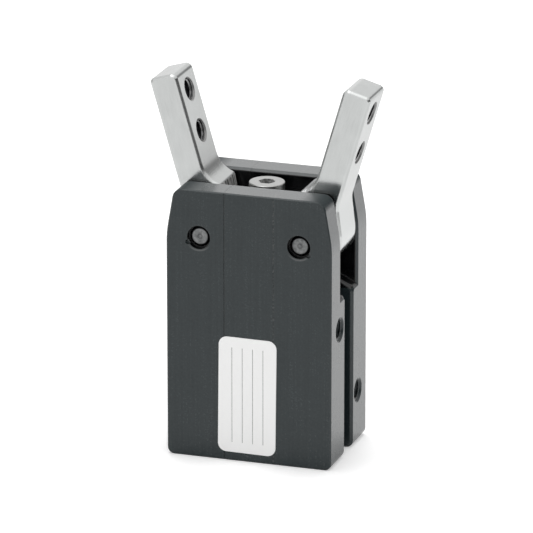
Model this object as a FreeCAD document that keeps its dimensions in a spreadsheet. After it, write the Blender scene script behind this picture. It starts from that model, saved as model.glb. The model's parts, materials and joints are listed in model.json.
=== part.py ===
import FreeCAD, Part
import math
import os

import Sketcher

# Angular gripper: a double-acting cylinder whose rod swings two bell-crank fingers.
# The frame is millimetres, +Z up the rod, origin at the middle of the base's locating recess.
# The fingers are modelled at rest, fully open.

DIMENSIONS = {
    # Fits and small breaks shared by many pieces
    "running_gap": 0.03,
    "tight_gap": 0.01,
    "seat_gap": 0.02,
    "overcut": 1.0,
    # Housing
    "body_width": 23.8,
    "body_depth": 16.2,
    "body_height": 38.6,
    "taper_start": 32.2,
    "taper_inset": 1.1,
    "taper_blend": 15.0,
    "shoulder_round": 1.5,
    "base_round": 1.0,
    "edge_break": 0.15,
    "line_offset": 3.55,
    "line_width": 0.12,
    "line_depth": 0.06,
    # Lever slot and sensor grooves
    "slot_width": 7.7,
    "slot_floor": 26.0,
    "slot_ledge": 23.5,
    "floor_half": 7.1,
    "slot_chamfer": 0.35,
    "ledge_round": 0.7,
    "groove_width": 3.5,
    "groove_depth": 4.5,
    # Cylinder bore and the steps along it
    "recess_dia": 11.0,
    "recess_depth": 1.5,
    "bore_dia": 10.0,
    "bore_top": 20.6,
    "ring_groove_dia": 10.4,
    "ring_groove_low": 1.9,
    "ring_groove_high": 2.6,
    "guide_dia": 7.4,
    "guide_top": 24.2,
    "rod_hole_dia": 4.4,
    # Threaded holes, at nominal diameter
    "thread_dia": 3.0,
    "base_hole_x": 8.0,
    "base_hole_y": 5.5,
    "base_hole_depth": 4.5,
    "port_offset": 4.25,
    "port_low": 7.8,
    "port_high": 19.35,
    "port_depth": 4.5,
    "port_chamfer": 0.3,
    "air_passage_dia": 1.2,
    # Pivots
    "pivot_x": 7.2,
    "pivot_z": 31.9,
    "pin_dia": 3.0,
    "pin_recess": 0.6,
    "pin_chamfer": 0.35,
    "pin_mouth_dia": 3.3,
    "pin_mouth_depth": 0.9,
    "stake_dia": 0.7,
    "stake_depth": 0.5,
    "stake_left_x": -1.58,
    "stake_left_z": -0.78,
    "stake_right_x": 1.35,
    "stake_right_z": -1.1,
    # Fingers, in the lever's own upright frame with the pivot at its origin
    "open_angle": 16.35,
    "finger_width": 6.8,
    "finger_reach": 22.1,
    "finger_outer": 2.6,
    "finger_inner": 1.4,
    "finger_bevel": 0.32,
    "tip_inner_round": 0.9,
    "tip_outer_round": 0.7,
    "finger_hole_high": 19.0,
    "finger_hole_low": 13.0,
    "finger_hole_sink": 0.2,
    "hub_radius": 4.6,
    "hub_trim": 2.6,
    "boss_dia": 5.2,
    "boss_width": 7.5,
    "waist_rise": 5.6,
    "waist_blend": 3.0,
    "crook_radius": 4.0,
    "crook_rise": 9.0,
    "foot_top": 3.2,
    "foot_round": 0.5,
    "arm_length": 4.5,
    "arm_half": 0.8,
    "arm_width": 6.0,
    "nose_radius": 1.1,
    # Rod, drive block and joint screw
    "rod_dia": 4.0,
    "rod_spigot_dia": 3.0,
    "tap_dia": 2.0,
    "tap_depth": 6.0,
    "block_half_x": 3.6,
    "block_half_y": 3.6,
    "block_flange": 1.45,
    "block_web": 1.45,
    "channel_gap": 0.04,
    "block_chamfer": 0.3,
    "screw_head_dia": 5.0,
    "screw_head_height": 2.55,
    "screw_head_chamfer": 0.1,
    "hex_across": 2.0,
    "hex_depth": 1.4,
    # Piston, from its top down: piston, seal, magnet ring and plate, riveted on the rod's spigot
    "piston_dia": 9.9,
    "piston_top": 19.36,
    "piston_low": 17.0,
    "magnet_top": 15.0,
    "magnet_dia": 9.5,
    "plate_top": 12.6,
    "plate_low": 11.0,
    "rivet_dia": 4.2,
    "rivet_height": 0.8,
    # End cap, seals and end cushions
    "cap_low": 2.62,
    "cap_high": 6.6,
    "cap_dia": 9.94,
    "cap_seal_section": 1.14,
    "cap_groove_low": 3.7,
    "cap_groove_high": 5.2,
    "lower_bumper_dia": 6.0,
    "lower_bumper_top": 9.3,
    "upper_bumper_dia": 7.0,
    "upper_bumper_hole_dia": 4.6,
    "upper_bumper_low": 19.4,
    "ring_inner_dia": 8.8,
    "ring_play": 0.03,
    "ring_gap_angle": 40.0,
    "rod_seal_low": 22.7,
    # Label
    "label_width": 8.35,
    "label_height": 16.75,
    "label_thick": 0.1,
    "label_round": 1.2,
    "label_x": -0.2,
    "label_z": 9.65,
    "label_turn": 0.6,
}

doc = FreeCAD.newDocument("angular_gripper")
dims = doc.addObject("Spreadsheet::Sheet", "dims")
for row, (alias, number) in enumerate(DIMENSIONS.items(), start=1):
    dims.set(f"A{row}", alias)
    dims.set(f"B{row}", str(number))
    dims.setAlias(f"B{row}", alias)
doc.recompute()

nodes = []
TOLERANCE = 1e-3


def full(expression):
    """The expression with every dimension's name led by the sheet's name."""
    words = []
    word = ""
    for letter in expression + " ":
        if letter.isalnum() or letter == "_":
            word += letter
            continue
        words.append("dims." + word if word in DIMENSIONS else word)
        words.append(letter)
        word = ""
    return "".join(words).strip()


def amount(expression):
    """The expression's value now."""
    return float(dims.evalExpression(full(expression)))


def bind(thing, prop, expression):
    thing.setExpression(prop, full(expression))


def new_body(name):
    body = doc.addObject("PartDesign::Body", name)
    body.Label = name
    nodes.append(body)
    return body


def new_sketch(body, name, plane, height="0"):
    """A sketch on one of the body's own origin planes, lifted along the plane's normal."""
    sketch = body.newObject("Sketcher::SketchObject", f"{body.Name}_{name}")
    support = [feature for feature in body.Origin.OriginFeatures if feature.Role == plane]
    sketch.AttachmentSupport = [(support[0], "")]
    sketch.MapMode = "FlatFace"
    bind(sketch, "AttachmentOffset.Base.z", height)
    return sketch


def fix_coordinate(sketch, kind, geometry, point, expression):
    """Hold one coordinate of a sketch point at an expression, measured from the sketch's origin."""
    if amount(expression) >= 0:
        index = sketch.addConstraint(
            Sketcher.Constraint(kind, -1, 1, geometry, point, amount(expression)))
        bind(sketch, f"Constraints[{index}]", expression)
    else:
        index = sketch.addConstraint(
            Sketcher.Constraint(kind, geometry, point, -1, 1, -amount(expression)))
        bind(sketch, f"Constraints[{index}]", f"-({expression})")


def arc_between(start, end, radius):
    """A minor arc; a positive radius keeps the centre on the left of the way from start to end."""
    chord = end - start
    reach = math.sqrt(radius ** 2 - (chord.Length / 2) ** 2)
    left = FreeCAD.Vector(-chord.y, chord.x, 0).normalize()
    centre = (start + end) / 2 + left * math.copysign(reach, radius)
    angles = [math.atan2(end_point.y - centre.y, end_point.x - centre.x) for end_point in (start, end)]
    if radius < 0:
        angles.reverse()
    circle = Part.Circle(centre, FreeCAD.Vector(0, 0, 1), abs(radius))
    return Part.ArcOfCircle(circle, angles[0], angles[1])


def draw_outline(sketch, corners):
    """Draw a closed outline. A corner is (x, y), or (x, y, radius) where an arc leads to the next."""
    spots = [FreeCAD.Vector(amount(corner[0]), amount(corner[1]), 0) for corner in corners]
    ends = []
    for index, corner in enumerate(corners):
        start = spots[index]
        end = spots[(index + 1) % len(spots)]
        if len(corner) == 2:
            geometry = sketch.addGeometry(Part.LineSegment(start, end), False)
            ends.append((geometry, 1, 2))
            continue
        radius = amount(corner[2])
        geometry = sketch.addGeometry(arc_between(start, end, radius), False)
        ends.append((geometry, 1, 2) if radius > 0 else (geometry, 2, 1))
    for index, (geometry, _, last) in enumerate(ends):
        following, following_first, _ = ends[(index + 1) % len(ends)]
        sketch.addConstraint(
            Sketcher.Constraint("Coincident", geometry, last, following, following_first))
    for (geometry, first, _), corner in zip(ends, corners):
        fix_coordinate(sketch, "DistanceX", geometry, first, corner[0])
        fix_coordinate(sketch, "DistanceY", geometry, first, corner[1])
        if len(corner) == 3:
            index = sketch.addConstraint(
                Sketcher.Constraint("Radius", geometry, abs(amount(corner[2]))))
            bind(sketch, f"Constraints[{index}]", f"abs({corner[2]})")


def draw_circle(sketch, x, y, diameter):
    spot = FreeCAD.Vector(amount(x), amount(y), 0)
    circle = Part.Circle(spot, FreeCAD.Vector(0, 0, 1), amount(diameter) / 2)
    geometry = sketch.addGeometry(circle, False)
    fix_coordinate(sketch, "DistanceX", geometry, 3, x)
    fix_coordinate(sketch, "DistanceY", geometry, 3, y)
    index = sketch.addConstraint(Sketcher.Constraint("Diameter", geometry, amount(diameter)))
    bind(sketch, f"Constraints[{index}]", diameter)


def rectangle(low_x, high_x, low_y, high_y):
    return [(low_x, low_y), (high_x, low_y), (high_x, high_y), (low_x, high_y)]


def pad(body, sketch, length, symmetric=False):
    feature = body.newObject("PartDesign::Pad", f"{sketch.Name}_pad")
    feature.Profile = sketch
    bind(feature, "Length", length)
    if symmetric:
        feature.SideType = "Symmetric"
    doc.recompute()
    return feature


def cut(body, feature, before):
    """Recompute a cutting feature and make sure that it took something away."""
    doc.recompute()
    if body.Shape.Volume > before - TOLERANCE:
        raise RuntimeError(f"{feature.Name} cuts nothing")
    return feature


def pocket(body, sketch, length=None, reverse=False, symmetric=False):
    """Cut along the sketch's normal: to a length, or right through where none is given."""
    before = body.Shape.Volume
    feature = body.newObject("PartDesign::Pocket", f"{sketch.Name}_pocket")
    feature.Profile = sketch
    if length is None:
        feature.Type = "ThroughAll"
    else:
        bind(feature, "Length", length)
    feature.Reversed = reverse
    if symmetric:
        feature.SideType = "Symmetric"
    return cut(body, feature, before)


def groove(body, sketch):
    before = body.Shape.Volume
    feature = body.newObject("PartDesign::Groove", f"{sketch.Name}_groove")
    feature.Profile = sketch
    feature.ReferenceAxis = (sketch, ["V_Axis"])
    feature.Angle = 360.0
    return cut(body, feature, before)


def turned(name, corners, angle="360"):
    """A body turned about Z from an outline of (radius, height) corners."""
    body = new_body(name)
    sketch = new_sketch(body, "profile", "XZ_Plane")
    draw_outline(sketch, corners)
    feature = body.newObject("PartDesign::Revolution", f"{name}_turned")
    feature.Profile = sketch
    feature.ReferenceAxis = (sketch, ["V_Axis"])
    bind(feature, "Angle", angle)
    doc.recompute()
    return body


def dress(body, kind, size_name, test):
    """Fillet or chamfer the edges of the body's last feature that pass a test."""
    base = body.Tip
    names = [f"Edge{number}" for number, edge in enumerate(base.Shape.Edges, start=1) if test(edge)]
    if not names:
        raise RuntimeError(f"no edges of {body.Name} to dress")
    feature = body.newObject(f"PartDesign::{kind}", f"{body.Name}_{kind.lower()}_{size_name}")
    feature.Base = (base, names)
    bind(feature, "Radius" if kind == "Fillet" else "Size", size_name)
    doc.recompute()
    if feature.Shape.isNull() or not feature.Shape.isValid():
        raise RuntimeError(f"{feature.Name} did not build")
    return feature


def edge_points(edge):
    """The start, middle and end of an edge."""
    first, last = edge.FirstParameter, edge.LastParameter
    return [edge.valueAt(first), edge.valueAt((first + last) / 2), edge.valueAt(last)]


def runs_along_y(edge):
    start, _, end = edge_points(edge)
    return near(abs(end.y - start.y), edge.Length)


def near(value, target):
    return abs(value - target) < TOLERANCE


def make_body():
    """The housing: tapered block, lever slot, sensor grooves, stepped bore, ports and threads."""
    body = new_body("body")
    outline = new_sketch(body, "outline", "XZ_Plane")
    draw_outline(outline, [
        ("-body_width / 2", "0"),
        ("body_width / 2", "0"),
        ("body_width / 2", "taper_start"),
        ("body_width / 2 - taper_inset", "body_height"),
        ("taper_inset - body_width / 2", "body_height"),
        ("-body_width / 2", "taper_start"),
    ])
    pad(body, outline, "body_depth", symmetric=True)
    top = amount("body_height")
    bend = amount("taper_start")
    front = amount("body_depth / 2")
    dress(body, "Fillet", "shoulder_round",
          lambda edge: runs_along_y(edge) and near(edge_points(edge)[1].z, top))
    dress(body, "Fillet", "base_round",
          lambda edge: runs_along_y(edge) and near(edge_points(edge)[1].z, 0))
    dress(body, "Fillet", "taper_blend",
          lambda edge: runs_along_y(edge) and near(edge_points(edge)[1].z, bend))
    dress(body, "Chamfer", "edge_break",
          lambda edge: all(near(abs(point.y), front) for point in edge_points(edge)))

    slot = new_sketch(body, "slot", "XZ_Plane")
    draw_outline(slot, [
        ("-body_width / 2", "slot_ledge"),
        ("-floor_half", "slot_floor"),
        ("floor_half", "slot_floor"),
        ("body_width / 2", "slot_ledge"),
        ("body_width / 2 + overcut", "slot_ledge"),
        ("body_width / 2 + overcut", "body_height + overcut"),
        ("-body_width / 2 - overcut", "body_height + overcut"),
        ("-body_width / 2 - overcut", "slot_ledge"),
    ])
    pocket(body, slot, "slot_width", symmetric=True)

    grooves = new_sketch(body, "grooves", "XY_Plane")
    for side in (-1, 1):
        mouth = f"(body_width / 2 + overcut) * {side}"
        floor = f"(body_width / 2 - groove_depth) * {side}"
        draw_outline(grooves, rectangle(mouth, floor, "-groove_width / 2", "groove_width / 2"))
    pocket(body, grooves, "slot_floor", reverse=True)

    wall = amount("slot_width / 2")
    groove_half = amount("groove_width / 2")
    side_x = amount("body_width / 2")
    ledge = amount("slot_ledge")

    def on_ledge_corner(edge):
        points = edge_points(edge)
        return points[1].z > ledge and all(near(abs(point.y), groove_half) for point in points)

    dress(body, "Fillet", "ledge_round", on_ledge_corner)

    outer_edges = []
    for face in body.Tip.Shape.Faces:
        box = face.BoundBox
        if max(-box.YMin, box.YMax) > amount("slot_width / 2 + overcut"):
            outer_edges.extend(face.Edges)

    def on_slot_mouth(edge):
        points = edge_points(edge)
        within = all(abs(point.y) < wall + TOLERANCE for point in points)
        outside = any(edge.isSame(outer) for outer in outer_edges)
        return within and outside and points[1].z > TOLERANCE

    dress(body, "Chamfer", "slot_chamfer", on_slot_mouth)

    bore = new_sketch(body, "bore", "XZ_Plane")
    draw_outline(bore, [
        ("0", "-overcut"),
        ("recess_dia / 2", "-overcut"),
        ("recess_dia / 2", "recess_depth"),
        ("bore_dia / 2", "recess_depth"),
        ("bore_dia / 2", "ring_groove_low"),
        ("ring_groove_dia / 2", "ring_groove_low"),
        ("ring_groove_dia / 2", "ring_groove_high"),
        ("bore_dia / 2", "ring_groove_high"),
        ("bore_dia / 2", "bore_top"),
        ("guide_dia / 2", "bore_top"),
        ("guide_dia / 2", "guide_top"),
        ("rod_hole_dia / 2", "guide_top"),
        ("rod_hole_dia / 2", "slot_floor + overcut"),
        ("0", "slot_floor + overcut"),
    ])
    groove(body, bore)

    base_holes = new_sketch(body, "base_holes", "XY_Plane")
    for x in ("base_hole_x", "-base_hole_x"):
        for y in ("base_hole_y", "-base_hole_y"):
            draw_circle(base_holes, x, y, "thread_dia")
    pocket(body, base_holes, "base_hole_depth", reverse=True)

    pin_holes = new_sketch(body, "pin_holes", "XZ_Plane")
    for x in ("pivot_x", "-pivot_x"):
        draw_circle(pin_holes, x, "pivot_z", "pin_dia")
    pocket(body, pin_holes, symmetric=True)
    pin_mouths = new_sketch(body, "pin_mouths", "XZ_Plane", "body_depth / 2")
    for x in ("pivot_x", "-pivot_x"):
        draw_circle(pin_mouths, x, "pivot_z", "pin_mouth_dia")
    pocket(body, pin_mouths, "pin_mouth_depth")
    stakes = new_sketch(body, "stakes", "XZ_Plane", "body_depth / 2")
    draw_circle(stakes, "-pivot_x + stake_left_x", "pivot_z + stake_left_z", "stake_dia")
    draw_circle(stakes, "pivot_x + stake_right_x", "pivot_z + stake_right_z", "stake_dia")
    pocket(body, stakes, "stake_depth")

    ports = (("low", "port_offset", "port_low"), ("high", "-port_offset", "port_high"))
    for name, y, z in ports:
        port = new_sketch(body, f"port_{name}", "YZ_Plane", "body_width / 2")
        draw_circle(port, y, z, "thread_dia")
        pocket(body, port, "port_depth")
        passage = new_sketch(body, f"passage_{name}", "YZ_Plane", "body_width / 2 - port_depth / 2")
        draw_circle(passage, y, z, "air_passage_dia")
        pocket(body, passage, "body_width / 2 - port_depth / 2 - bore_dia / 4")

    def on_port_mouth(edge):
        points = edge_points(edge)
        on_side = all(near(point.x, side_x) for point in points)
        return on_side and isinstance(edge.Curve, Part.Circle)

    dress(body, "Chamfer", "port_chamfer", on_port_mouth)

    lines = new_sketch(body, "extrusion_lines", "XZ_Plane", "body_depth / 2")
    for sign in (-1, 1):
        draw_outline(lines, rectangle(
            f"line_offset * {sign} - line_width / 2", f"line_offset * {sign} + line_width / 2",
            "-overcut", "body_height + overcut"))
    pocket(body, lines, "line_depth")
    return body


def make_finger(side, name):
    """A bell-crank lever: finger, hub, foot and the round-nosed arm that the rod drives."""
    body = new_body(name)
    inward = -side
    waist = "(finger_outer^2 + waist_rise^2)"
    slope = f"(hub_radius * sqrt({waist} - hub_radius^2))"
    meet_x = f"(hub_radius^2 * finger_outer + {slope} * waist_rise) / {waist}"
    meet_z = f"(hub_radius^2 * waist_rise - {slope} * finger_outer) / {waist}"
    crook_x = "(finger_inner + crook_radius)"
    foot_rise = f"crook_rise - sqrt(crook_radius^2 - ({crook_x} - foot_top)^2)"
    nose_x = "arm_length - sqrt(nose_radius^2 - arm_half^2)"
    lever = [
        ("-finger_outer", "finger_reach"),
        ("-finger_outer", "waist_rise"),
        (f"-{meet_x}", meet_z, "hub_radius"),
        ("hub_trim", "-sqrt(hub_radius^2 - hub_trim^2)"),
        ("foot_top", foot_rise, "-crook_radius"),
        ("finger_inner", "crook_rise"),
        ("finger_inner", "finger_reach"),
    ]
    arm = [
        ("0", "-arm_half"),
        (nose_x, "-arm_half", "nose_radius"),
        ("arm_length + nose_radius", "0", "nose_radius"),
        (nose_x, "arm_half"),
        ("0", "arm_half"),
    ]

    def add_plate(plate_name, corners, width):
        """A plate across the lever, its outline turned for the hand."""
        handed = []
        for x, z, *arc in corners:
            handed.append((f"({x}) * {inward}", z, *[f"({radius}) * {inward}" for radius in arc]))
        outline = new_sketch(body, plate_name, "XZ_Plane")
        draw_outline(outline, handed)
        pad(body, outline, width, symmetric=True)

    add_plate("lever", lever, "finger_width")
    for size_name, corner_z in (("waist_blend", amount("waist_rise")), ("foot_round", amount(foot_rise))):
        dress(body, "Fillet", size_name,
              lambda edge: runs_along_y(edge) and near(edge_points(edge)[1].z, corner_z))
    tip = amount("finger_reach")
    flank = amount("finger_width / 2")
    for corner, reach in (("inner", "finger_inner"), ("outer", "-finger_outer")):
        corner_x = amount(reach) * inward
        dress(body, "Fillet", f"tip_{corner}_round",
              lambda edge: near(edge_points(edge)[1].x, corner_x) and near(edge_points(edge)[1].z, tip))
    dress(body, "Chamfer", "finger_bevel",
          lambda edge: all(near(abs(point.y), flank) for point in edge_points(edge)))

    add_plate("arm", arm, "arm_width")
    boss = new_sketch(body, "boss", "XZ_Plane")
    draw_circle(boss, "0", "0", "boss_dia")
    pad(body, boss, "boss_width", symmetric=True)
    bearing = new_sketch(body, "bearing", "XZ_Plane")
    draw_circle(bearing, "0", "0", "pin_dia + 2 * running_gap")
    pocket(body, bearing, symmetric=True)
    holes = new_sketch(body, "holes", "YZ_Plane")
    for height in ("finger_hole_low", "finger_hole_high"):
        draw_circle(holes, "0", height, "thread_dia")
    pocket(body, holes, symmetric=True)
    dress(body, "Chamfer", "finger_hole_sink",
          lambda edge: isinstance(edge.Curve, Part.Circle) and near(abs(edge.Curve.Axis.x), 1))
    body.Placement = FreeCAD.Placement(
        FreeCAD.Vector(0, 0, 0), FreeCAD.Rotation(FreeCAD.Vector(0, 1, 0), 1))
    bind(body, "Placement.Base.x", f"pivot_x * {side}")
    bind(body, "Placement.Base.z", "pivot_z")
    bind(body, "Placement.Rotation.Angle", f"open_angle * {side}")
    doc.recompute()
    return body


def make_pivot_pin(side, name):
    """A pin through both walls, its ends chamfered and sunk a little below them."""
    body = new_body(name)
    section = new_sketch(body, "section", "XZ_Plane")
    draw_circle(section, f"pivot_x * {side}", "pivot_z", "pin_dia")
    pad(body, section, "body_depth - 2 * pin_recess", symmetric=True)
    dress(body, "Chamfer", "pin_chamfer", lambda edge: isinstance(edge.Curve, Part.Circle))
    return body


def make_drive_block():
    """The rod's coupling: two flanges and a web, with a channel each side for the levers' noses."""
    body = new_body("drive_block")
    nose_z = "(pivot_z + arm_length * sin(open_angle * 1 deg))"
    channel = "(nose_radius + channel_gap)"
    profile = new_sketch(body, "profile", "XZ_Plane")
    right = [
        ("block_half_x", f"{nose_z} - {channel} - block_flange"),
        ("block_half_x", f"{nose_z} - {channel}"),
        ("block_web", f"{nose_z} - {channel}"),
        ("block_web", f"{nose_z} + {channel}"),
        ("block_half_x", f"{nose_z} + {channel}"),
        ("block_half_x", f"{nose_z} + {channel} + block_flange"),
    ]
    left = [(f"-{x}", z) for x, z in reversed(right)]
    draw_outline(profile, right + left)
    pad(body, profile, "block_half_y * 2", symmetric=True)
    half_x = amount("block_half_x")
    half_y = amount("block_half_y")
    dress(body, "Chamfer", "block_chamfer",
          lambda edge: all(near(abs(point.x), half_x) and near(abs(point.y), half_y)
                           for point in edge_points(edge)))
    shank = new_sketch(body, "shank", "XY_Plane", f"{nose_z} + {channel} + block_flange")
    draw_circle(shank, "0", "0", "tap_dia")
    pocket(body, shank)
    return body


def make_joint_screw():
    """The socket head screw that holds the drive block on the rod."""
    head_low = ("(pivot_z + arm_length * sin(open_angle * 1 deg)"
                " + nose_radius + channel_gap + block_flange)")
    block_low = f"({head_low} - 2 * (nose_radius + channel_gap + block_flange))"
    head_high = f"({head_low} + screw_head_height)"
    shank = "(tap_dia / 2 - tight_gap)"
    body = turned("joint_screw", [
        ("0", f"{block_low} - tap_depth + overcut"),
        (shank, f"{block_low} - tap_depth + overcut"),
        (shank, head_low),
        ("screw_head_dia / 2", head_low),
        ("screw_head_dia / 2", f"{head_high} - screw_head_chamfer"),
        ("screw_head_dia / 2 - screw_head_chamfer", head_high),
        ("0", head_high),
    ])
    socket = new_sketch(body, "socket", "XY_Plane", head_high)
    radius = "hex_across / sqrt(3)"
    draw_outline(socket, [
        (f"{radius} * cos({60 * turn} deg)", f"{radius} * sin({60 * turn} deg)") for turn in range(6)])
    pocket(body, socket, "hex_depth")
    return body


def make_piston_rod():
    """The rod: tapped above for the joint screw, with a spigot below that is riveted over the plate."""
    block_low = ("(pivot_z + arm_length * sin(open_angle * 1 deg)"
                 " - nose_radius - channel_gap - block_flange)")
    return turned("piston_rod", [
        ("0", "plate_low"),
        ("rivet_dia / 2 - tight_gap", "plate_low"),
        ("rod_spigot_dia / 2", "plate_low + rivet_height"),
        ("rod_spigot_dia / 2", "piston_top"),
        ("rod_dia / 2", "piston_top"),
        ("rod_dia / 2", block_low),
        ("tap_dia / 2", block_low),
        ("tap_dia / 2", f"{block_low} - tap_depth"),
        ("0", f"{block_low} - tap_depth"),
    ])


def make_piston_parts():
    """Piston, with its seal and the magnet ring clamped under it by the plate."""
    hole = "(rod_spigot_dia / 2 + tight_gap)"
    turned("piston", rectangle(hole, "piston_dia / 2", "piston_low", "piston_top"))
    turned("piston_seal", rectangle(hole, "bore_dia / 2 - seat_gap", "magnet_top", "piston_low"))
    turned("magnet_ring", rectangle(hole, "magnet_dia / 2", "plate_top", "magnet_top"))
    turned("piston_plate", [
        (hole, "plate_top"),
        ("piston_dia / 2", "plate_top"),
        ("piston_dia / 2", "plate_low"),
        ("rivet_dia / 2", "plate_low"),
        (hole, "plate_low + rivet_height"),
    ])


def make_rod_guide():
    """The rod's seal, and the bush under it that keeps it in place."""
    sliding = "rod_dia / 2 + running_gap"
    wall = "guide_dia / 2 - tight_gap"
    turned("rod_bush", rectangle(sliding, wall, "bore_top", "rod_seal_low - seat_gap"))
    turned("rod_seal", rectangle(sliding, wall, "rod_seal_low", "guide_top - seat_gap"))


def make_end_cap_parts():
    """End cap with its square-section ring seal, and the two end cushions."""
    floor = "bore_dia / 2 - cap_seal_section - seat_gap"
    turned("end_cap", [
        ("0", "cap_low"),
        ("cap_dia / 2", "cap_low"),
        ("cap_dia / 2", "cap_groove_low"),
        (floor, "cap_groove_low"),
        (floor, "cap_groove_high"),
        ("cap_dia / 2", "cap_groove_high"),
        ("cap_dia / 2", "cap_high"),
        ("0", "cap_high"),
    ])
    turned("cap_seal", rectangle(
        "bore_dia / 2 - cap_seal_section", "bore_dia / 2 - tight_gap",
        "cap_groove_low + seat_gap", "cap_groove_high - seat_gap"))
    turned("lower_bumper", rectangle("0", "lower_bumper_dia / 2", "cap_high", "lower_bumper_top"))
    turned("upper_bumper", rectangle(
        "upper_bumper_hole_dia / 2", "upper_bumper_dia / 2", "upper_bumper_low", "bore_top"))


def make_retaining_ring():
    """The open snap ring under the end cap."""
    turned("cap_retaining_ring", rectangle(
        "ring_inner_dia / 2", "ring_groove_dia / 2 - ring_play",
        "ring_groove_low + ring_play", "ring_groove_high - ring_play"), "360 - ring_gap_angle")


def make_label():
    """The sticker on the front wall, turned a little as it was stuck on."""
    body = new_body("label")
    face = new_sketch(body, "face", "XZ_Plane")
    draw_outline(face, rectangle(
        "-label_width / 2", "label_width / 2", "-label_height / 2", "label_height / 2"))
    pad(body, face, "label_thick")
    dress(body, "Fillet", "label_round", runs_along_y)
    body.Placement = FreeCAD.Placement(
        FreeCAD.Vector(0, 0, 0), FreeCAD.Rotation(FreeCAD.Vector(0, 1, 0), -1))
    bind(body, "Placement.Base.x", "label_x")
    bind(body, "Placement.Base.y", "-body_depth / 2")
    bind(body, "Placement.Base.z", "label_z")
    bind(body, "Placement.Rotation.Angle", "label_turn")
    doc.recompute()
    return body


make_body()
make_end_cap_parts()
make_retaining_ring()
make_rod_guide()
make_piston_parts()
make_piston_rod()
make_drive_block()
make_joint_screw()
for side, hand in ((-1, "left"), (1, "right")):
    make_pivot_pin(side, f"pivot_pin_{hand}")
    make_finger(side, f"finger_{hand}")
make_label()
doc.recompute()

for thing in doc.Objects:
    if "Invalid" in thing.State or "Error" in thing.State:
        raise RuntimeError(f"{thing.Name} did not build")
os.makedirs("parts", exist_ok=True)
for node in nodes:
    if node.Shape.isNull() or not node.Shape.isValid():
        raise RuntimeError(f"{node.Label} has no valid shape")
    node.Shape.exportStep(f"parts/{node.Label}.step")
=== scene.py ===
"""Studio scene of a small angular gripper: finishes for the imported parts, cut threads, light and camera."""

import json
import math

import bmesh
import bpy
from mathutils import Matrix, Vector


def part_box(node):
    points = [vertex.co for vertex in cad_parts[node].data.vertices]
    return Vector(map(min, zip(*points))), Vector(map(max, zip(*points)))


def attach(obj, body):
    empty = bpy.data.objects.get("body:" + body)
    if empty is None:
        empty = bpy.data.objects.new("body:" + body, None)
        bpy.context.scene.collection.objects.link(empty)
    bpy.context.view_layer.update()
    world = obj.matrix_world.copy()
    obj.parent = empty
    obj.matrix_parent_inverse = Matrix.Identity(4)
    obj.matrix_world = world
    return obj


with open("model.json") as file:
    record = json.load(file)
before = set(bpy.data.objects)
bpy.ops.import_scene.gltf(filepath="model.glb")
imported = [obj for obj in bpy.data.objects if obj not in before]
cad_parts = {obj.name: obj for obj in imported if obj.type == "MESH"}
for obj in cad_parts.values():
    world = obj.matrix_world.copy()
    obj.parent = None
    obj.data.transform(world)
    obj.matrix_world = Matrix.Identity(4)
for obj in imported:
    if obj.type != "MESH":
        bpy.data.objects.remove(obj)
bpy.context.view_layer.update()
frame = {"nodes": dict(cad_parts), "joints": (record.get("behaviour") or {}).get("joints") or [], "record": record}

MM = 0.001
MOUNTS = {mount["name"]: mount for mount in frame["record"]["mounts"]}

# Metric coarse threads, 3 mm across
THREAD_PITCH = 0.5 * MM
THREAD_CREST = 1.24 * MM
THREAD_ROOT = 1.465 * MM
THREAD_WALL = 1.495 * MM
THREAD_FLAT = 0.15
THREAD_FLANK = 0.6
THREAD_LEAD_SLOPE = 2.5
THREAD_SIDES = 48
THREAD_STEPS_PER_TURN = 10
THREAD_CREASE = math.radians(35)
FINGER_THREAD = 3.62 * MM
BASE_THREAD_DEPTH = 4.4 * MM

# Places on the housing, in millimetres. A pair is where a mask starts and where it ends
BODY_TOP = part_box("body")[1].z / MM
EXTRUSION_LINE_X = 3.55
LINE_HIGHLIGHT_HALF = 0.1
GROOVE_HALF = 0.12
SLOT_HALF = 3.85
SLOT_WALL = (SLOT_HALF + 0.02, SLOT_HALF + 0.06)
SLOT_LEDGE = 23.4
SLOT_LIP = 0.34
SLOT_LIP_LOW = BODY_TOP - SLOT_LIP - 0.05
PIN_MOUTH = (1.65, 1.68)
# Painted highlight below the pins' mouths: its radius, half width and drop below the pivot
LIT_RIM = 1.86
LIT_RIM_HALF = (0.03, 0.17)
LIT_RIM_DROP = (1.1, 1.75)
SHOULDER_ENDS = (7.1, 9.5)
SHOULDER_RISE = (BODY_TOP - 1.5, BODY_TOP - 0.75)

# How far a normal points forward or back where a shoulder goes over into the front or rear face
SHOULDER_FACING = (0.4, 0.8)

# The right lever's pivot in millimetres, and how far the lever leans outward at rest
PIVOT = Vector(frame["joints"][1]["pos_m"]) / MM
LEVER_LEAN = math.radians(16.35)

# Places on a lever along its own axes, in millimetres outward and up from its pivot
FOOT_INWARD = -2.45
FOOT_RISE = 5.5
INNER_FACE = (-1.0, -1.35)
OUTER_FACE = (2.2, 2.5)
HUB_TOP = (5.0, 8.0)
BEND_TOP = (6.0, 11.0)
SHADE_LOW = (6.8, 8.0)
SHADE_HIGH = (8.5, 14.5)
CROOK_INWARD = (-1.2, -1.4)
CROOK_TOP = (6.6, 7.2)
FINGER_MIDDLE = 0.6
HOLE_RISES = (13.0, 19.0)
SINK_EDGE = (1.66, 1.72)
# Painted shade in the jaw threads: from the finger's middle, and at the roots
SHADED_FROM_MIDDLE = (1.4, 1.62)
SHADED_ROOTS = (1.3, 1.42)

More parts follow.
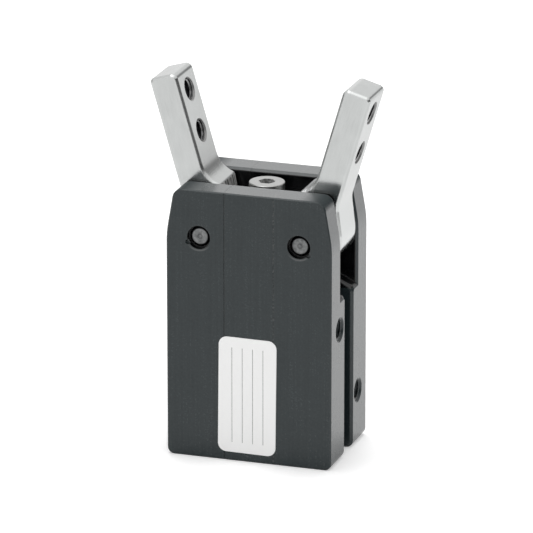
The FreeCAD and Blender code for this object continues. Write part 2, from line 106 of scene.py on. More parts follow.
# Places on the pins, the joint screw and the label, in millimetres
PIN_CENTRE = 0.3
PIN_CENTRE_HALF = (0.05, 0.13)
PIN_EDGE = (1.0, 1.16)
SCREW_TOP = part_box("joint_screw")[1].z / MM
SOCKET_RADIUS = 1.25
SOCKET_LIP = 0.03
SOCKET_DEPTH = 1.6
# Painted shade ring round the screw's socket, from full to none
SOCKET_SHADE_RING = (1.1, 1.24)
LABEL_MIDDLE = (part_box("label")[0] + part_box("label")[1]) / 2 / MM
RULE_PLACES = (-2.2, -0.7, 0.8, 2.3)
RULE_HALF_WIDTH = 0.05
RULE_HALF_LENGTH = 6.9

# Coordinates that count for a distance from an axis along X, Y or Z
ROUND_X = (0, 1, 1)
ROUND_Y = (1, 0, 1)
ROUND_Z = (1, 1, 0)

# Most of a noise's values lie in this range
NOISE_RANGE = (0.3, 0.7)

# Edges that finishes round off: samples, and the cosines over which a turned normal counts as an edge
EDGE_SAMPLES = 6
EDGE_COSINES = (0.99, 0.85)

# Sealed anodising reflects at two surfaces of a thin film
FILM_IOR = 1.33

# Pale specks in the anodising
SPECKS_PER_MM = 1.6
SPECK_SIZE = (0.035, 0.075)
SPECK_CHOICE = 0.56
SPECK_STRENGTH = 0.14

# Turned metals: dark and light colours, roughness, and the rings' scale and depth where not the usual
TURNED_METALS = {
    "drive_steel": ((0.2, 0.2, 0.21), (0.36, 0.36, 0.36), (0.3, 0.45)),
    "hard_chrome": ((0.62, 0.62, 0.63), (0.74, 0.74, 0.75), (0.1, 0.18), 9.0, 0.001),
    "bare_aluminium": ((0.58, 0.59, 0.61), (0.76, 0.77, 0.79), (0.28, 0.4)),
    "bronze": ((0.38, 0.26, 0.12), (0.56, 0.41, 0.22), (0.35, 0.5)),
    "spring_steel": ((0.08, 0.08, 0.085), (0.17, 0.17, 0.18), (0.35, 0.5)),
}

# Moulded or sintered stock: dark and light colours, roughness, scale and depth of the grain
DULL_SOLIDS = {
    "magnet": ((0.05, 0.05, 0.052), (0.1, 0.1, 0.105), (0.5, 0.65), 12.0, 0.01),
    "nitrile": ((0.012, 0.012, 0.012), (0.028, 0.028, 0.028), (0.45, 0.6), 10.0, 0.006),
    "cushion": ((0.26, 0.17, 0.06), (0.4, 0.28, 0.12), (0.4, 0.55), 6.0, 0.006),
}

# Camera, as solved from the body's edges in a 533 pixel square picture
PICTURE_SIDE = 533
FOCAL_PIXELS = 5504.0
CAMERA_AZIMUTH = math.radians(18.2)
CAMERA_ELEVATION = math.radians(18.418)
CAMERA_DISTANCE = 762.27 * MM
CAMERA_RANGE = (0.01, 20)
LOOKED_AT = Vector((0, 0, 19.912 * MM))
LOOKED_AT_OFFSET = Vector((0.52, 41.53))
SENSOR_WIDTH = 36.0

# Floor
SHEET_SIZE = (0.44, 1.6)
PAPER_TONES = (0.9, 0.92)
FLOOR_SEEN_LIFT = 0.32
FLOOR_REFLECTED_LIFT = 0.01

# Lamps: name, place in metres, size and power
LAMPS = (
    ("front_lamp", (0.25, -0.9, 0.5), 0.7, 2.1),
    ("top_lamp", (-0.035, 0.1, 1.0), 0.25, 4.3),
)

# Surroundings: strengths, and where the darker parts start and end along a direction's X and Z
WORLD_DIFFUSE = 0.62
WORLD_REFLECTED = 0.95
LEFT_SIDE = 0.65
RIGHT_SIDE = 0.25
SIDE_CHANGE = (-0.1, 0.1)
SIDE_START = (0.55, 0.85)
SIDE_HALF_HEIGHT = (0.3, 0.42)
DIM_BAND = 0.3
DIM_BAND_START = (0.21, 0.31)
DIM_BAND_MIDDLE = 0.25
DIM_BAND_HALF_HEIGHT = (0.13, 0.22)

# Brighter patches overhead, left of that and behind: direction, cosines of the soft edge, strength
BRIGHT_PATCHES = (
    (Vector((0.0, -0.39, 0.92)), (0.88, 0.96), 0.6),
    (Vector((-0.3, -0.32, 0.9)), (0.97, 0.987), 1.5),
    (Vector((-0.296, 0.901, 0.316)), (0.975, 0.995), 0.13),
)


def node(tree, kind, inputs=None, **settings):
    """Add a shader node. Inputs that are sockets are linked, and other values are set."""
    made = tree.nodes.new(kind)
    for name, value in settings.items():
        setattr(made, name, value)
    for key, value in (inputs or {}).items():
        if isinstance(value, bpy.types.NodeSocket):
            tree.links.new(value, made.inputs[key])
        else:
            made.inputs[key].default_value = value
    return made


def maths(tree, operation, first, second=0.0):
    return node(tree, "ShaderNodeMath", {0: first, 1: second}, operation=operation).outputs[0]


def vector_maths(tree, operation, first, second):
    return node(tree, "ShaderNodeVectorMath", {0: first, 1: second}, operation=operation).outputs


def product(tree, first, *others):
    """Values multiplied together."""
    for other in others:
        first = maths(tree, "MULTIPLY", first, other)
    return first


def weighted(tree, *shares):
    """The sum of values, each times its weight."""
    total = 0.0
    for value, weight in shares:
        total = maths(tree, "ADD", product(tree, value, weight), total)
    return total


def size(tree, value):
    """A value without its sign."""
    return maths(tree, "ABSOLUTE", value)


def gap(tree, value, middle):
    """How far a value is from a middle one."""
    return size(tree, maths(tree, "SUBTRACT", value, middle))


def below(tree, value, limit):
    """1 where a value is under a limit."""
    return maths(tree, "LESS_THAN", value, limit)


def above(tree, value, limit):
    """1 where a value is over a limit."""
    return maths(tree, "GREATER_THAN", value, limit)


def spread(tree, value, low, high, to_low, to_high):
    """Map a value's range onto another, held at its ends."""
    inputs = {"Value": value, "From Min": low, "From Max": high, "To Min": to_low, "To Max": to_high}
    return node(tree, "ShaderNodeMapRange", inputs).outputs[0]


def rising(tree, value, start, end):
    """A mask that goes from 0 to 1."""
    return spread(tree, value, start, end, 0.0, 1.0)


def falling(tree, value, start, end):
    """A mask that goes from 1 to 0."""
    return spread(tree, value, start, end, 1.0, 0.0)


def between(tree, mask, outside, inside):
    """A value that goes from one to another as a mask goes from 0 to 1."""
    return spread(tree, mask, 0.0, 1.0, outside, inside)


def noise(tree, place, scale, detail=2.0, stretch=None):
    """Noise whose scale counts per millimetre, stretched by a factor along each axis."""
    if stretch:
        place = vector_maths(tree, "MULTIPLY", place, stretch)[0]
    return node(tree, "ShaderNodeTexNoise", {"Vector": place, "Scale": scale, "Detail": detail}).outputs[0]


def ramp(tree, factor, low, high):
    """A colour between two by a factor."""
    made = node(tree, "ShaderNodeValToRGB", {"Fac": factor})
    made.color_ramp.elements[0].color = (*low, 1)
    made.color_ramp.elements[1].color = (*high, 1)
    return made.outputs["Color"]


def mixed(tree, factor, low, high):
    """One colour laid over another by a factor."""
    made = node(tree, "ShaderNodeMix", {0: factor, 6: low, 7: high}, data_type="RGBA")
    return made.outputs[2]


def axes(tree, place):
    """A place's X, Y and Z."""
    return node(tree, "ShaderNodeSeparateXYZ", {0: place}).outputs


def millimetres(tree):
    """The piece's own coordinates, in millimetres."""
    place = node(tree, "ShaderNodeTexCoord").outputs["Object"]
    scaled = node(tree, "ShaderNodeVectorMath", {"Vector": place, "Scale": 1 / MM}, operation="SCALE")
    return scaled.outputs["Vector"]


def soft_edges(tree, radius):
    """A normal rounded over edges, and a mask that is 1 where it leaves the face's own normal."""
    rounded = node(tree, "ShaderNodeBevel", {"Radius": radius * MM}, samples=EDGE_SAMPLES).outputs["Normal"]
    flat = node(tree, "ShaderNodeNewGeometry").outputs["Normal"]
    same = vector_maths(tree, "DOT_PRODUCT", rounded, flat)["Value"]
    return rounded, rising(tree, same, *EDGE_COSINES)


def bump(tree, height, depth, normal=None):
    """A normal that follows a height, whose depth is in millimetres."""
    inputs = {"Height": height, "Distance": depth * MM, "Strength": 1.0}
    if normal:
        inputs["Normal"] = normal
    return node(tree, "ShaderNodeBump", inputs).outputs["Normal"]


def new_material(name):
    material = bpy.data.materials.new(name)
    material.use_nodes = True
    tree = material.node_tree
    tree.nodes.clear()
    shader = node(tree, "ShaderNodeBsdfPrincipled")
    node(tree, "ShaderNodeOutputMaterial", {"Surface": shader.outputs["BSDF"]})
    return material, tree, shader


def wire(tree, shader, **inputs):
    """Link or set the shader's inputs, given by their names with underscores for spaces."""
    for name, value in inputs.items():
        socket = shader.inputs[name.replace("_", " ")]
        if isinstance(value, bpy.types.NodeSocket):
            tree.links.new(value, socket)
        else:
            socket.default_value = value


def distance_from(tree, place, axis_point, kept):
    """Distance of each point from an axis through a point, over the kept coordinates."""
    offset = vector_maths(tree, "SUBTRACT", place, axis_point)[0]
    flat = vector_maths(tree, "MULTIPLY", offset, kept)[0]
    return node(tree, "ShaderNodeVectorMath", {0: flat}, operation="LENGTH").outputs["Value"]


def rings(tree, distance, per_millimetre):
    """Fine turning marks round an axis."""
    stepped = node(tree, "ShaderNodeCombineXYZ", {"X": distance}).outputs[0]
    return noise(tree, stepped, per_millimetre, detail=1.0)


def mirrored_hands(tree, place):
    """The left hand's places laid over the right hand's."""
    parts = axes(tree, place)
    across = size(tree, parts["X"])
    return node(tree, "ShaderNodeCombineXYZ", {"X": across, "Y": parts["Y"], "Z": parts["Z"]}).outputs[0]


def from_pivots(tree, place):
    """Distance from the nearer pivot's axis."""
    return distance_from(tree, mirrored_hands(tree, place), PIVOT, ROUND_Y)


def specked(tree, place, colour):
    """The colour with a few pale specks on it."""
    cells = node(tree, "ShaderNodeTexVoronoi", {"Vector": place, "Scale": SPECKS_PER_MM, "Randomness": 1.0})
    dots = falling(tree, cells.outputs["Distance"], *SPECK_SIZE)
    chosen = above(tree, noise(tree, place, 0.9, detail=0.0), SPECK_CHOICE)
    return mixed(tree, product(tree, dots, chosen, SPECK_STRENGTH), colour, (0.16, 0.17, 0.17, 1))


def line_highlight(tree, place, parts):
    """A broken painted highlight down the housing's right extrusion line, lighter where its edge catches light."""
    lit_line = spread(tree, noise(tree, place, 1.0, stretch=(0.5, 0.5, 3.0)), 0.45, 0.6, 0.0, 0.5)
    return product(tree, lit_line, below(tree, gap(tree, parts["X"], EXTRUSION_LINE_X), LINE_HIGHLIGHT_HALF))


def lit_slot_lips(tree, parts):
    """Painted highlight: the edges along the top of the slot, painted lighter where they catch light."""
    near = below(tree, size(tree, parts["Y"]), SLOT_HALF + SLOT_LIP)
    return product(tree, near, above(tree, parts["Z"], SLOT_LIP_LOW), 0.6)


def shaded_insides(tree, parts, from_pivot):
    """Painted shade on the walls of the slot and of the pins' mouths."""
    slot = falling(tree, size(tree, parts["Y"]), *SLOT_WALL)
    slot = product(tree, slot, above(tree, parts["Z"], SLOT_LEDGE))
    return maths(tree, "MAXIMUM", slot, falling(tree, from_pivot, *PIN_MOUTH))


def lit_pin_rims(tree, parts, from_pivot):
    """A painted highlight: a lighter crescent below each pin's mouth, where its rim catches light."""
    rim = falling(tree, gap(tree, from_pivot, LIT_RIM), *LIT_RIM_HALF)
    high, low = (PIVOT.z - drop for drop in LIT_RIM_DROP)
    return product(tree, rim, rising(tree, parts["Z"], high, low), 0.8)


def shoulder_ends(tree, parts):
    """The shoulders at both ends of the top, apart from the front and rear faces."""
    facing = axes(tree, node(tree, "ShaderNodeNewGeometry").outputs["Normal"])
    sideways = falling(tree, size(tree, facing["Y"]), *SHOULDER_FACING)
    outer = rising(tree, size(tree, parts["X"]), *SHOULDER_ENDS)
    return product(tree, sideways, rising(tree, parts["Z"], *SHOULDER_RISE), outer)


def anodised_black():
    """Satin black anodising: grain, faint lines up the extrusion, specks, rubbed edges, dull shoulders, painted
    highlights on lit edges and painted shade in the slot and the pins' mouths.
    """
    material, tree, shader = new_material("anodised_black")
    place = millimetres(tree)
    parts = axes(tree, place)
    from_pivot = from_pivots(tree, place)
    grain = noise(tree, place, 4.0, detail=4.0)
    streaks = noise(tree, place, 1.0, stretch=(3.5, 3.5, 0.06))
    cloud = noise(tree, place, 0.22)
    tone = rising(tree, weighted(tree, (grain, 0.5), (streaks, 0.3), (cloud, 0.2)), *NOISE_RANGE)
    colour = ramp(tree, tone, (0.0085, 0.0148, 0.0168), (0.0225, 0.0312, 0.0332))
    colour = specked(tree, place, colour)
    normal, edge = soft_edges(tree, 0.3)
    worn = product(tree, edge, spread(tree, noise(tree, place, 1.4, detail=3.0), 0.35, 0.7, 0.05, 0.3))
    colour = mixed(tree, worn, colour, (0.11, 0.115, 0.115, 1))
    # Painted highlight: a broken lighter line down the right extrusion groove
    colour = mixed(tree, line_highlight(tree, place, parts), colour, (0.1, 0.105, 0.105, 1))
    # Painted highlight: the edges along the top of the slot painted lighter
    colour = mixed(tree, lit_slot_lips(tree, parts), colour, (0.1, 0.105, 0.106, 1))
    inside = shaded_insides(tree, parts, from_pivot)
    # Painted shade: the slot's walls and the pins' mouths painted near black
    colour = mixed(tree, inside, colour, (0.002, 0.0022, 0.0028, 1))
    # Painted highlight: a lighter crescent below each pin's mouth
    colour = mixed(tree, lit_pin_rims(tree, parts, from_pivot), colour, (0.1, 0.104, 0.104, 1))
    shoulder = shoulder_ends(tree, parts)
    roughness = between(tree, inside, between(tree, tone, 0.2, 0.3), 0.12)
    roughness = between(tree, shoulder, roughness, 0.5)
    beside_groove = rising(tree, gap(tree, parts["X"], -EXTRUSION_LINE_X), 0.0, GROOVE_HALF)
    relief = weighted(tree, (grain, 1.0), (streaks, 0.6), (beside_groove, 15.0))
    wire(tree, shader, Base_Color=colour, Roughness=roughness, IOR=FILM_IOR, Coat_IOR=FILM_IOR,
         Coat_Weight=between(tree, shoulder, 1.0, 0.1), Coat_Roughness=0.2,
         Normal=bump(tree, relief, 0.004, normal))
    return material


def lever_coordinates(tree):
    """Millimetres along a lever's own axes from its pivot, outward and up, for both hands at once."""
    inputs = {"Vector": mirrored_hands(tree, millimetres(tree)), "Center": PIVOT, "Angle": -LEVER_LEAN}
    upright = node(tree, "ShaderNodeVectorRotate", inputs, rotation_type="Y_AXIS").outputs[0]
    return vector_maths(tree, "SUBTRACT", upright, PIVOT)[0]


def from_jaw_holes(tree, lever):
    """Distance from the axis of the nearer jaw hole."""
    first, second = (distance_from(tree, lever, (0, 0, rise), ROUND_X) for rise in HOLE_RISES)
    return maths(tree, "MINIMUM", first, second)


def lit_scored_crook(tree, lever, parts, colour):
    """The colour with tool marks across the crook of the right lever, painted bright there as a highlight."""
    right_hand = above(tree, axes(tree, millimetres(tree))["X"], 0.0)
    inward = rising(tree, parts["X"], *CROOK_INWARD)
    crook = product(tree, right_hand, falling(tree, parts["Z"], *CROOK_TOP), inward)
    scores = rising(tree, noise(tree, lever, 1.0, detail=1.0, stretch=(4.2, 0.2, 0.2)), 0.38, 0.62)
    return mixed(tree, crook, colour, ramp(tree, scores, (0.3, 0.305, 0.305), (0.93, 0.94, 0.94)))


def stainless():
    """Satin stainless: grinding lines along the finger, soft cloudiness, a rough-cut foot and crook, painted
    highlights on edges, hub and right crook, painted shade low on the inner face.
    """
    material, tree, shader = new_material("stainless")
    lever = lever_coordinates(tree)
    parts = axes(tree, lever)
    lines = noise(tree, lever, 1.0, detail=3.0, stretch=(16.0, 16.0, 0.55))
    grain = noise(tree, lever, 13.0)
    cloud = noise(tree, lever, 0.35)
    tone = rising(tree, weighted(tree, (lines, 0.45), (grain, 0.25), (cloud, 0.3)), *NOISE_RANGE)
    colour = ramp(tree, tone, (0.496, 0.507, 0.502), (0.637, 0.651, 0.645))
    normal, edge = soft_edges(tree, 0.25)
    # Painted highlight: edges painted lighter
    colour = mixed(tree, product(tree, edge, 0.45), colour, (0.88, 0.89, 0.885, 1))
    # Painted highlight: the outer face low on the hub painted lighter
    lit_hub = product(tree, rising(tree, parts["X"], *OUTER_FACE), falling(tree, parts["Z"], *HUB_TOP), 0.45)
    colour = mixed(tree, lit_hub, colour, (0.8, 0.815, 0.81, 1))
    foot = product(tree, below(tree, parts["X"], FOOT_INWARD), below(tree, parts["Z"], FOOT_RISE))
    marks = rising(tree, noise(tree, lever, 1.0, detail=3.0, stretch=(3.0, 5.0, 0.4)), 0.4, 0.62)
    colour = mixed(tree, foot, colour, ramp(tree, marks, (0.07, 0.07, 0.07), (0.85, 0.85, 0.84)))
    inner = product(tree, rising(tree, parts["X"], *INNER_FACE), maths(tree, "SUBTRACT", 1.0, foot))
    # Painted shade: the inner face darkened low down towards the bend
    low, high = rising(tree, parts["Z"], *SHADE_LOW), falling(tree, parts["Z"], *SHADE_HIGH)
    colour = mixed(tree, product(tree, inner, low, high, 0.45), colour, (0.28, 0.28, 0.278, 1))
    # Tool marks on the right crook, with a painted highlight
    colour = lit_scored_crook(tree, lever, parts, colour)
    sinks = falling(tree, from_jaw_holes(tree, lever), *SINK_EDGE)
    colour = mixed(tree, sinks, colour, (0.3, 0.3, 0.297, 1))
    bend = product(tree, inner, falling(tree, parts["Z"], *BEND_TOP))
    roughness = between(tree, foot, between(tree, tone, 0.11, 0.19), 0.7)
    roughness = weighted(tree, (between(tree, sinks, roughness, 0.4), 1.0), (bend, 0.16))
    height = weighted(tree, (lines, 1.0), (grain, 0.5), (product(tree, marks, foot), 6.0))
    wire(tree, shader, Base_Color=colour, Metallic=1.0, Roughness=roughness,
         Normal=bump(tree, height, 0.0022, normal))
    return material


def pin_steel():
    """Dull steel pin: blotched cut ends with a faint turned centre, and painted shade round each end's rim."""
    material, tree, shader = new_material("pin_steel")
    place = millimetres(tree)
    distance = from_pivots(tree, place)
    blotch = noise(tree, place, 2.6, detail=3.0)
    grit = noise(tree, place, 14.0)
    normal, _ = soft_edges(tree, 0.12)
    tone = weighted(tree, (blotch, 0.6), (grit, 0.4))
    colour = ramp(tree, rising(tree, tone, 0.32, 0.68), (0.075, 0.079, 0.081), (0.32, 0.325, 0.325))
    centre = product(tree, falling(tree, gap(tree, distance, PIN_CENTRE), *PIN_CENTRE_HALF), 0.6)
    colour = mixed(tree, centre, colour, (0.05, 0.052, 0.054, 1))
    # Painted shade: the rim of each pin end and the pin's side painted near black
    colour = mixed(tree, rising(tree, distance, *PIN_EDGE), colour, (0.004, 0.004, 0.005, 1))
    roughness = spread(tree, tone, *NOISE_RANGE, 0.36, 0.52)
    height = weighted(tree, (rings(tree, distance, 7.0), 0.6), (grit, 1.0))
    wire(tree, shader, Base_Color=colour, Metallic=0.85, Roughness=roughness,
         Normal=bump(tree, height, 0.008, normal))
    return material


def turning(tree, place, distance, ring_scale):
    """Fine rings round the rod's axis and a little grain."""
    marks = rings(tree, maths(tree, "ADD", distance, axes(tree, place)["Z"]), ring_scale)
    return weighted(tree, (marks, 0.55), (noise(tree, place, 9.0), 0.45))


def turned_metal(name, dark, light, roughness, ring_scale=5.0, ring_depth=0.004):
    """Metal turned about the rod's axis, with fine rings, a little grain and a painted highlight on its edges."""
    material, tree, shader = new_material(name)
    place = millimetres(tree)
    marks = turning(tree, place, distance_from(tree, place, (0, 0, 0), ROUND_Z), ring_scale)
    tone = rising(tree, marks, *NOISE_RANGE)
    normal, edge = soft_edges(tree, 0.08)
    # Painted highlight: edges painted a little lighter
    colour = mixed(tree, product(tree, edge, 0.2), ramp(tree, tone, dark, light), (*light, 1))
    wire(tree, shader, Base_Color=colour, Metallic=1.0, Roughness=between(tree, tone, *roughness),
         Normal=bump(tree, marks, ring_depth, normal))
    return material


def screw_steel():
    """Turned steel screw head with a rough hex socket, a painted highlight on its edges, and a blotched ring of
    painted shade round the socket.
    """
    material, tree, shader = new_material("screw_steel")
    dark, light = (0.4, 0.405, 0.4), (0.58, 0.58, 0.57)
    place = millimetres(tree)
    height = axes(tree, place)["Z"]
    distance = distance_from(tree, place, (0, 0, 0), ROUND_Z)
    tone = rising(tree, turning(tree, place, distance, 5.0), *NOISE_RANGE)
    normal, edge = soft_edges(tree, 0.08)
    # Painted highlight: edges painted a little lighter
    colour = mixed(tree, product(tree, edge, 0.2), ramp(tree, tone, dark, light), (*light, 1))
    # Painted shade: a blotched dark ring round the socket and in it
    shade_ring = falling(tree, distance, *SOCKET_SHADE_RING)
    shade_ring = product(tree, shade_ring, above(tree, height, SCREW_TOP - SOCKET_DEPTH))
    blotch = rising(tree, noise(tree, place, 2.6), 0.36, 0.62)
    colour = mixed(tree, shade_ring, colour, ramp(tree, blotch, (0.09, 0.092, 0.094), (0.5, 0.5, 0.495)))
    socket = below(tree, distance, SOCKET_RADIUS)
    socket = product(tree, socket, below(tree, height, SCREW_TOP - SOCKET_LIP))
    roughness = between(tree, socket, between(tree, tone, 0.28, 0.4), 0.75)
    wire(tree, shader, Base_Color=colour, Metallic=between(tree, socket, 1.0, 0.6), Roughness=roughness,
         Normal=bump(tree, tone, 0.002, normal))
    return material


def tapped_steel():
    """Cut threads through a finger: bright at both mouths, with painted shade further in and at the roots."""
    material, tree, shader = new_material("tapped_steel")
    lever = lever_coordinates(tree)
    grain = noise(tree, lever, 9.0)
    tone = rising(tree, grain, *NOISE_RANGE)
    normal, _ = soft_edges(tree, 0.05)
    deep = falling(tree, gap(tree, axes(tree, lever)["X"], FINGER_MIDDLE), *SHADED_FROM_MIDDLE)
    roots = product(tree, rising(tree, from_jaw_holes(tree, lever), *SHADED_ROOTS), 0.85)
    colour = ramp(tree, tone, (0.42, 0.42, 0.42), (0.72, 0.72, 0.71))
    # Painted shade: darker further into the hole and at the thread's roots
    colour = mixed(tree, maths(tree, "MAXIMUM", deep, roots), colour, (0.035, 0.036, 0.04, 1))
    wire(tree, shader, Base_Color=colour, Metallic=1.0, Roughness=between(tree, tone, 0.26, 0.36),
         Normal=bump(tree, grain, 0.003, normal))
    return material


def dull_solid(name, dark, light, roughness, grain_scale, depth):
    """Moulded or sintered stock: fine grain, cloudy colour."""
    material, tree, shader = new_material(name)
    place = millimetres(tree)
    grain = noise(tree, place, grain_scale, detail=3.0)
    cloud = noise(tree, place, 0.8)
    normal, _ = soft_edges(tree, 0.1)
    tone = rising(tree, weighted(tree, (grain, 0.6), (cloud, 0.4)), *NOISE_RANGE)
    wire(tree, shader, Base_Color=ramp(tree, tone, dark, light), Roughness=between(tree, tone, *roughness),
         Normal=bump(tree, grain, depth, normal))
    return material


def label_film():
    """White vinyl sticker with a few plain ruled lines to write on, and a faint orange-peel gloss."""
    material, tree, shader = new_material("label_film")
    place = millimetres(tree)
    parts = axes(tree, vector_maths(tree, "SUBTRACT", place, LABEL_MIDDLE)[0])
    ink = 0.0
    for rule in RULE_PLACES:
        near = below(tree, gap(tree, parts["X"], rule), RULE_HALF_WIDTH)
        ink = maths(tree, "MAXIMUM", near, ink)
    within = below(tree, size(tree, parts["Z"]), RULE_HALF_LENGTH)
    peel = noise(tree, place, 2.2)
    fibre = noise(tree, place, 11.0)
    faded = spread(tree, fibre, *NOISE_RANGE, 0.55, 0.9)
    colour = ramp(tree, fibre, (0.86, 0.86, 0.855), (0.92, 0.92, 0.915))
    colour = mixed(tree, product(tree, ink, within, faded), colour, (0.12, 0.12, 0.125, 1))
    height = weighted(tree, (peel, 1.0), (fibre, 0.25))
    wire(tree, shader, Base_Color=colour, Roughness=spread(tree, peel, *NOISE_RANGE, 0.4, 0.5),
         Normal=bump(tree, height, 0.006))
    return material


def make_materials():
    """One finish for each of the record's material slots, and one for the fingers' threads with painted shade
    inside.
    """
    made = {
        "anodised_black": anodised_black(),
        "stainless": stainless(),
        "pin_steel": pin_steel(),
        "screw_steel": screw_steel(),
        "label_film": label_film(),
        "tapped_steel": tapped_steel(),
    }
    for name, values in TURNED_METALS.items():
        made[name] = turned_metal(name, *values)
    for name, values in DULL_SOLIDS.items():
        made[name] = dull_solid(name, *values)
    return made


def thread_radius(along, turn, length):
    """Inner radius of a cut thread with a short lead-in at both ends."""
    phase = (along / THREAD_PITCH - turn) % 1.0
    rise = min(max((abs(2 * phase - 1) - THREAD_FLAT) / THREAD_FLANK, 0.0), 1.0)
    cut = THREAD_CREST + (THREAD_ROOT - THREAD_CREST) * rise
    lead = THREAD_ROOT - THREAD_LEAD_SLOPE * min(along, length - along)
    return max(cut, lead)


def thread_ring(mesh_maker, radii, height):
    """A ring of points round the thread's axis, one for each radius."""
    ring = []
    for side, radius in enumerate(radii):
        angle = 2 * math.pi * side / THREAD_SIDES
        ring.append(mesh_maker.verts.new((radius * math.cos(angle), radius * math.sin(angle), height)))
    return ring


def make_thread(name, middle, axis, length, body, material):
    """A closed sleeve with a helical thread inside, seated in a plain hole."""
    steps = round(length / THREAD_PITCH * THREAD_STEPS_PER_TURN)
    mesh_maker = bmesh.new()
    loops = []
    for step in range(steps + 1):
        along = length * step / steps
        radii = [thread_radius(along, side / THREAD_SIDES, length) for side in range(THREAD_SIDES)]
        loops.append(thread_ring(mesh_maker, radii, along - length / 2))
    for height in (length / 2, -length / 2):
        loops.append(thread_ring(mesh_maker, [THREAD_WALL] * THREAD_SIDES, height))
    loops.append(loops[0])
    for lower, upper in zip(loops, loops[1:]):
        for side in range(THREAD_SIDES):
            after = (side + 1) % THREAD_SIDES
            mesh_maker.faces.new((lower[side], upper[side], upper[after], lower[after]))
    bmesh.ops.recalc_face_normals(mesh_maker, faces=mesh_maker.faces)
    mesh = bpy.data.meshes.new(name)
    mesh_maker.to_mesh(mesh)
    mesh_maker.free()
    mesh.transform(Matrix.Translation(middle) @ Vector(axis).to_track_quat("Z", "Y").to_matrix().to_4x4())
    mesh.polygons.foreach_set("use_smooth", [True] * len(mesh.polygons))
    mesh.set_sharp_from_angle(angle=THREAD_CREASE)
    mesh.materials.append(material)
    piece = bpy.data.objects.new(name, mesh)
    bpy.context.scene.collection.objects.link(piece)
    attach(piece, body)


def make_finger_threads(hand, material):
    """Cut threads in the two jaw holes of a finger."""
    mount = MOUNTS[f"jaw_holes_{hand}"]
    axis = Vector(mount["axis"])
    along = axis.cross(Vector((0, 1, 0)))
    half = mount["dims"]["pcd_mm"] / 2 * MM
    for place, sign in (("near", -1), ("far", 1)):
        middle = Vector(mount["pos_m"]) + along * math.copysign(half, along.z * sign)
        make_thread(f"jaw_thread_{hand}_{place}", middle, axis, FINGER_THREAD,
                    f"finger_{hand}_unit", material)


def make_housing_threads(material):
    """Cut threads in the air ports and the base."""
    for port in ("port_open", "port_close"):
        mount = MOUNTS[port]
        length = mount["dims"]["length_mm"] * MM
        make_thread(f"{port}_thread", Vector(mount["pos_m"]), mount["axis"], length,
                    "housing", material)
    pattern = MOUNTS["base_threads"]["dims"]
    half_x = pattern["spacing_x_mm"] / 2 * MM
    half_y = pattern["spacing_y_mm"] / 2 * MM
    for hand, x_sign in (("left", -1), ("right", 1)):
        for end, y_sign in (("front", -1), ("rear", 1)):
            middle = Vector((x_sign * half_x, y_sign * half_y, BASE_THREAD_DEPTH / 2))
            make_thread(f"base_thread_{hand}_{end}", middle, (0, 0, -1), BASE_THREAD_DEPTH,
                        "housing", material)


def finish_nodes(materials):
    """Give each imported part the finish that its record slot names."""
    for subpart in frame["record"]["subparts"]:
        part = frame["nodes"][subpart["node"]]
        part.data.materials.clear()
        part.data.materials.append(materials[subpart["material_slot"]])


def background_rays(tree):
    """1 for the rays that see the background from the camera, and 1 for those by way of metal or glass."""
    path = node(tree, "ShaderNodeLightPath").outputs
    return path["Is Camera Ray"], maths(tree, "MAXIMUM", path["Is Glossy Ray"], path["Is Transmission Ray"])


def make_floor():
    """A pale paper sheet under the gripper, lifted to white where seen and a touch where reflected."""
    material = bpy.data.materials.new("paper_sheet")
    material.use_nodes = True
    tree = material.node_tree
    tree.nodes.clear()
    dark, light = ((tone,) * 3 for tone in PAPER_TONES)
    colour = ramp(tree, noise(tree, millimetres(tree), 0.02), dark, light)
    paper = node(tree, "ShaderNodeBsdfDiffuse", {"Color": colour})
    seen, reflected = background_rays(tree)
    lift = weighted(tree, (seen, FLOOR_SEEN_LIFT), (reflected, FLOOR_REFLECTED_LIFT))
    glow = node(tree, "ShaderNodeEmission", {"Strength": lift})
    both = node(tree, "ShaderNodeAddShader", {0: paper.outputs[0], 1: glow.outputs[0]})
    node(tree, "ShaderNodeOutputMaterial", {"Surface": both.outputs[0]})
    bpy.ops.mesh.primitive_plane_add(size=1)
    sheet = bpy.context.object
    sheet.name = "floor"
    sheet.scale = (*SHEET_SIZE, 1)
    sheet.data.materials.append(material)


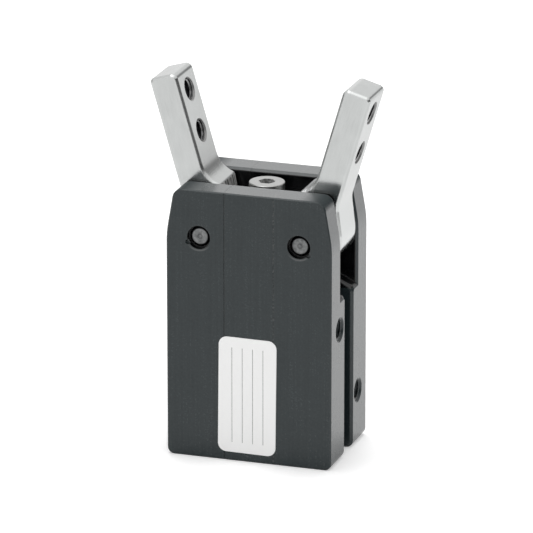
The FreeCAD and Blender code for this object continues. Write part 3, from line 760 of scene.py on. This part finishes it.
def make_world():
    """White surroundings, darker at the sides and in a band on the right, with bright patches for metal."""
    world = bpy.data.worlds.new("studio")
    world.use_nodes = True
    tree = world.node_tree
    tree.nodes.clear()
    direction = node(tree, "ShaderNodeTexCoord").outputs["Generated"]
    parts = axes(tree, direction)
    sides = product(tree, rising(tree, size(tree, parts["X"]), *SIDE_START),
                    falling(tree, size(tree, parts["Z"]), *SIDE_HALF_HEIGHT))
    side_strength = spread(tree, parts["X"], *SIDE_CHANGE, LEFT_SIDE, RIGHT_SIDE)
    band = product(tree, rising(tree, parts["X"], *DIM_BAND_START),
                   falling(tree, gap(tree, parts["Z"], DIM_BAND_MIDDLE), *DIM_BAND_HALF_HEIGHT))
    reflected = product(tree, between(tree, sides, WORLD_REFLECTED, side_strength),
                        between(tree, band, 1.0, DIM_BAND))
    for toward, edge, lift in BRIGHT_PATCHES:
        facing = vector_maths(tree, "DOT_PRODUCT", direction, toward)["Value"]
        reflected = maths(tree, "ADD", reflected, spread(tree, facing, *edge, 0.0, lift))
    seen_rays, reflected_rays = background_rays(tree)
    strength = node(tree, "ShaderNodeMix", {0: reflected_rays, 2: WORLD_DIFFUSE, 3: reflected}).outputs[0]
    strength = node(tree, "ShaderNodeMix", {0: seen_rays, 2: strength, 3: 1.0}).outputs[0]
    shader = node(tree, "ShaderNodeBackground", {"Color": (1, 1, 1, 1), "Strength": strength})
    node(tree, "ShaderNodeOutputWorld", {"Surface": shader.outputs[0]})
    bpy.context.scene.world = world


def make_lamp(name, place, width, power):
    """A soft square lamp aimed at the gripper. Reflections show the surroundings instead of it."""
    lamp = bpy.data.lights.new(name, "AREA")
    lamp.size = width
    lamp.energy = power
    holder = bpy.data.objects.new(name, lamp)
    holder.location = place
    holder.rotation_mode = "QUATERNION"
    holder.rotation_quaternion = (LOOKED_AT - Vector(place)).to_track_quat("-Z", "Y")
    holder.visible_glossy = False
    bpy.context.scene.collection.objects.link(holder)


def make_camera():
    """The photograph's viewpoint, turned a little so that the gripper sits where it does in the picture."""
    camera = bpy.data.cameras.new("camera")
    camera.sensor_width = SENSOR_WIDTH
    camera.lens = FOCAL_PIXELS / PICTURE_SIDE * SENSOR_WIDTH
    camera.clip_start, camera.clip_end = CAMERA_RANGE
    level = math.cos(CAMERA_ELEVATION)
    back = Vector((math.sin(CAMERA_AZIMUTH) * level,
                   -math.cos(CAMERA_AZIMUTH) * level, math.sin(CAMERA_ELEVATION)))
    right = Vector((0, 0, 1)).cross(back).normalized()
    up = back.cross(right)
    pixel = CAMERA_DISTANCE / FOCAL_PIXELS
    aim = LOOKED_AT - right * LOOKED_AT_OFFSET.x * pixel + up * LOOKED_AT_OFFSET.y * pixel
    holder = bpy.data.objects.new("camera", camera)
    holder.location = LOOKED_AT + back * CAMERA_DISTANCE
    holder.rotation_mode = "QUATERNION"
    holder.rotation_quaternion = (aim - holder.location).to_track_quat("-Z", "Y")
    bpy.context.scene.collection.objects.link(holder)
    bpy.context.scene.camera = holder


finishes = make_materials()
finish_nodes(finishes)
for finger_hand in ("left", "right"):
    make_finger_threads(finger_hand, finishes["tapped_steel"])
make_housing_threads(finishes["anodised_black"])
make_floor()
make_world()
for lamp_values in LAMPS:
    make_lamp(*lamp_values)
make_camera()
bpy.context.scene.view_settings.view_transform = "Standard"
